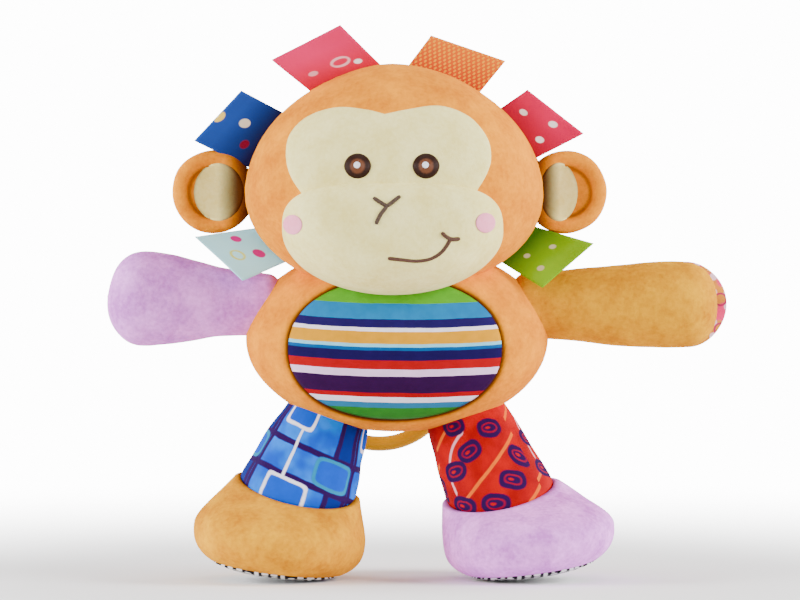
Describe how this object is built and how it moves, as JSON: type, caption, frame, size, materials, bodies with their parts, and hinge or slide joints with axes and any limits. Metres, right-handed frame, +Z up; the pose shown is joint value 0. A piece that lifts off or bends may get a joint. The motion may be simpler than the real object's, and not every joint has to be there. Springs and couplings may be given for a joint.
{
  "type": "stuffed monkey",
  "caption": "Stuffed monkey with a padded head and muzzle, striped belly, swinging arms and legs, folding ears, ribbon tags and a hanging ring.",
  "frame": {"origin": "on the ground under the middle of the toy's overall box", "axes": "+Z up, the toy faces -Y, +X towards the toy's own left hand"},
  "size_m": [0.3062, 0.1404, 0.2807],
  "materials": {
    "fibre_fill": "matte",
    "tan_plush": "matte",
    "belly_stripes": "satin",
    "cream_plush": "matte",
    "brown_thread": "satin",
    "white_thread": "satin",
    "grey_thread": "satin",
    "blush": "matte",
    "pink_ribbon": "satin",
    "orange_ribbon": "satin",
    "red_ribbon": "satin",
    "blue_ribbon": "satin",
    "aqua_ribbon": "satin",
    "green_ribbon": "satin",
    "lilac_plush": "matte",
    "yellow_plush": "matte",
    "arm_print": "satin",
    "blue_print": "satin",
    "red_print": "satin",
    "sole_print": "satin",
    "ring_plastic": "gloss"
  },
  "bodies": {
    "torso": {"torso_stuffing": "fibre_fill", "torso_front_panel": "tan_plush", "belly_panel": "belly_stripes", "torso_back_panel": "tan_plush", "neck_stuffing": "fibre_fill", "ring_loop": "tan_plush"},
    "head": {"head_stuffing": "fibre_fill", "head_front_panel": "tan_plush", "head_back_panel": "tan_plush", "face_mask": "cream_plush", "muzzle_stuffing": "fibre_fill", "muzzle_cover": "cream_plush", "right_eye": "brown_thread", "left_eye": "brown_thread", "eye_glints": "white_thread", "nose_stitching": "grey_thread", "mouth_stitching": "brown_thread", "right_cheek": "blush", "left_cheek": "blush"},
    "right_ear": {"right_ear_front": "tan_plush", "right_ear_patch": "cream_plush", "right_ear_back": "tan_plush"},
    "left_ear": {"left_ear_front": "tan_plush", "left_ear_patch": "cream_plush", "left_ear_back": "tan_plush"},
    "right_arm": {"right_arm_stuffing": "fibre_fill", "right_arm_front": "lilac_plush", "right_arm_back": "arm_print"},
    "left_arm": {"left_arm_stuffing": "fibre_fill", "left_arm_front": "yellow_plush", "left_arm_back": "arm_print"},
    "right_leg": {"right_leg_stuffing": "fibre_fill", "right_leg_sleeve": "blue_print", "right_foot_upper": "yellow_plush", "right_sole": "sole_print"},
    "left_leg": {"left_leg_stuffing": "fibre_fill", "left_leg_sleeve": "red_print", "left_foot_upper": "lilac_plush", "left_sole": "sole_print"},
    "ring": {"hanging_ring": "ring_plastic"},
    "pink_ribbon": {"pink_tag": "pink_ribbon"},
    "orange_ribbon": {"orange_tag": "orange_ribbon"},
    "red_ribbon": {"red_tag": "red_ribbon"},
    "blue_ribbon": {"blue_tag": "blue_ribbon"},
    "aqua_ribbon": {"aqua_tag": "aqua_ribbon"},
    "green_ribbon": {"green_tag": "green_ribbon"}
  },
  "joints": [
    {"name": "head_nod", "type": "hinge", "parent": "torso", "child": "head", "pos_m": [-0.009, 0.00925, 0.148], "axis": [1, 0, 0], "range_deg": [-10, 8], "stiffness_Nm_per_rad": 0.8},
    {"name": "right_ear_fold", "type": "hinge", "parent": "head", "child": "right_ear", "pos_m": [-0.089, 0.00125, 0.194], "axis": [0, 0, 1], "range_deg": [-20, 40], "stiffness_Nm_per_rad": 0.02},
    {"name": "left_ear_fold", "type": "hinge", "parent": "head", "child": "left_ear", "pos_m": [0.071, 0.00125, 0.194], "axis": [0, 0, -1], "range_deg": [-20, 40], "stiffness_Nm_per_rad": 0.02},
    {"name": "right_arm_swing", "type": "hinge", "parent": "torso", "child": "right_arm", "pos_m": [-0.07356, 0.01325, 0.137], "axis": [0, 0, 1], "range_deg": [-25, 50], "stiffness_Nm_per_rad": 0.06},
    {"name": "left_arm_swing", "type": "hinge", "parent": "torso", "child": "left_arm", "pos_m": [0.05856, 0.01325, 0.137], "axis": [0, 0, -1], "range_deg": [-25, 50], "stiffness_Nm_per_rad": 0.06},
    {"name": "right_leg_swing", "type": "hinge", "parent": "torso", "child": "right_leg", "pos_m": [-0.0445, 0.00725, 0.07551], "axis": [-1, 0, 0], "range_deg": [-20, 60], "stiffness_Nm_per_rad": 1.2},
    {"name": "left_leg_swing", "type": "hinge", "parent": "torso", "child": "left_leg", "pos_m": [0.0295, 0.00725, 0.07551], "axis": [-1, 0, 0], "range_deg": [-20, 60], "stiffness_Nm_per_rad": 1.2},
    {"name": "ring_swing", "type": "hinge", "parent": "torso", "child": "ring", "pos_m": [-0.0165, 0.065, 0.13675], "axis": [1, 0, 0], "range_deg": [0, 100]},
    {"name": "pink_ribbon_bend", "type": "hinge", "parent": "head", "child": "pink_ribbon", "pos_m": [-0.03698, 0.00125, 0.25824], "axis": [0.9517, 0, 0.3071], "range_deg": [-45, 45], "stiffness_Nm_per_rad": 0.004},
    {"name": "orange_ribbon_bend", "type": "hinge", "parent": "head", "child": "orange_ribbon", "pos_m": [0.01951, 0.00125, 0.25807], "axis": [0.9499, 0, -0.3125], "range_deg": [-45, 45], "stiffness_Nm_per_rad": 0.004},
    {"name": "red_ribbon_bend", "type": "hinge", "parent": "head", "child": "red_ribbon", "pos_m": [0.05819, 0.00125, 0.23159], "axis": [0.6245, 0, -0.781], "range_deg": [-45, 45], "stiffness_Nm_per_rad": 0.004},
    {"name": "blue_ribbon_bend", "type": "hinge", "parent": "head", "child": "blue_ribbon", "pos_m": [-0.07863, 0.00125, 0.22832], "axis": [0.5733, 0, 0.8193], "range_deg": [-45, 45], "stiffness_Nm_per_rad": 0.004},
    {"name": "aqua_ribbon_bend", "type": "hinge", "parent": "head", "child": "aqua_ribbon", "pos_m": [-0.07332, 0.00125, 0.16835], "axis": [-0.6555, 0, 0.7552], "range_deg": [-45, 45], "stiffness_Nm_per_rad": 0.004},
    {"name": "green_ribbon_bend", "type": "hinge", "parent": "head", "child": "green_ribbon", "pos_m": [0.05532, 0.00125, 0.16835], "axis": [-0.6555, 0, -0.7552], "range_deg": [-45, 45], "stiffness_Nm_per_rad": 0.004}
  ]
}
